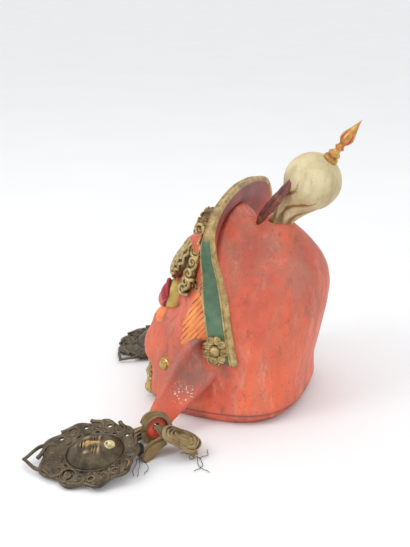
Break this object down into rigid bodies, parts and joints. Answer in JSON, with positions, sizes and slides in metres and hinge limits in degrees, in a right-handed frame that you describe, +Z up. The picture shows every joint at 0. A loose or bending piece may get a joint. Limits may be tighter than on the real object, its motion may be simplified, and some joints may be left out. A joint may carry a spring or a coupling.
{
  "type": "ceremonial helmet mask",
  "caption": "Carved wooden helmet mask of a fierce deity with a flared tiara, long ears, topknot and spire, and pierced metal ear plates tied on with cloth.",
  "frame": {"origin": "centre of the object's box at floor height, under the standing mask", "axes": "+Z up, -Y the way the face looks, +X to the wearer's left"},
  "size_m": [0.6576, 0.449, 0.4663],
  "materials": {
    "red_lacquer": "worn satin paint",
    "brass": "polished, worn",
    "cream_paint": "worn matt paint",
    "gilded_wood": "worn gilding",
    "dark_bronze": "aged, rubbed bright in places",
    "ear_cloth": "matt"
  },
  "bodies": {
    "root": {"mask_head": "red_lacquer", "beard_stud_left_upper": "brass", "beard_stud_left_lower": "brass", "beard_stud_right_upper": "brass", "beard_stud_right_lower": "brass", "topknot": "cream_paint", "topknot_finial": "gilded_wood", "ear_plate_left": "dark_bronze", "ear_plate_right": "dark_bronze", "ear_cloth_left": "ear_cloth", "ear_cloth_right": "ear_cloth"}
  },
  "joints": []
}
